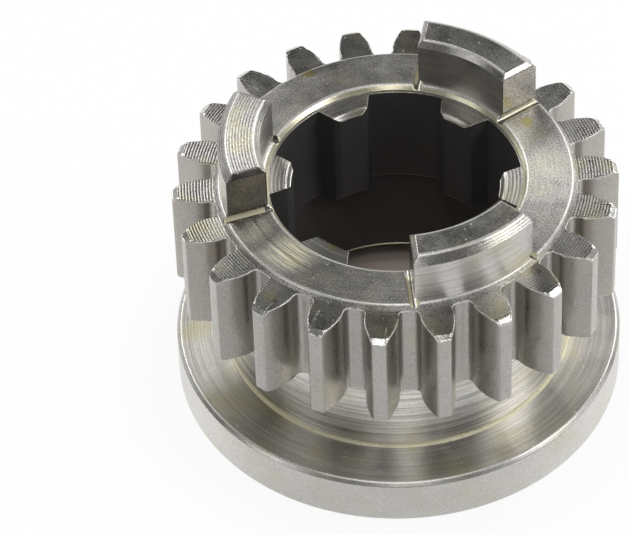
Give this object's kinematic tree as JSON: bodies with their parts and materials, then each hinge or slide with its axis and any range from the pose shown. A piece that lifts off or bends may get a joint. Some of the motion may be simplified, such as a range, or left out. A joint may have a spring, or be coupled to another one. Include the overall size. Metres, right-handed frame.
{
  "type": "sliding transmission gear",
  "caption": "One-piece sliding spur gear with face dogs, a splined bore, a counterbore and a shift fork groove over a plain flange.",
  "frame": {"origin": "middle of the flat base of the fork flange", "axes": "+Z along the bore, from the flange towards the face dogs; +X has no feature of its own"},
  "size_m": [0.0612, 0.0612, 0.0428],
  "materials": {
    "gear_steel": "turned, hobbed and milled, lightly oiled, with bright edges"
  },
  "bodies": {
    "root": {"sliding_gear": "gear_steel"}
  },
  "joints": []
}
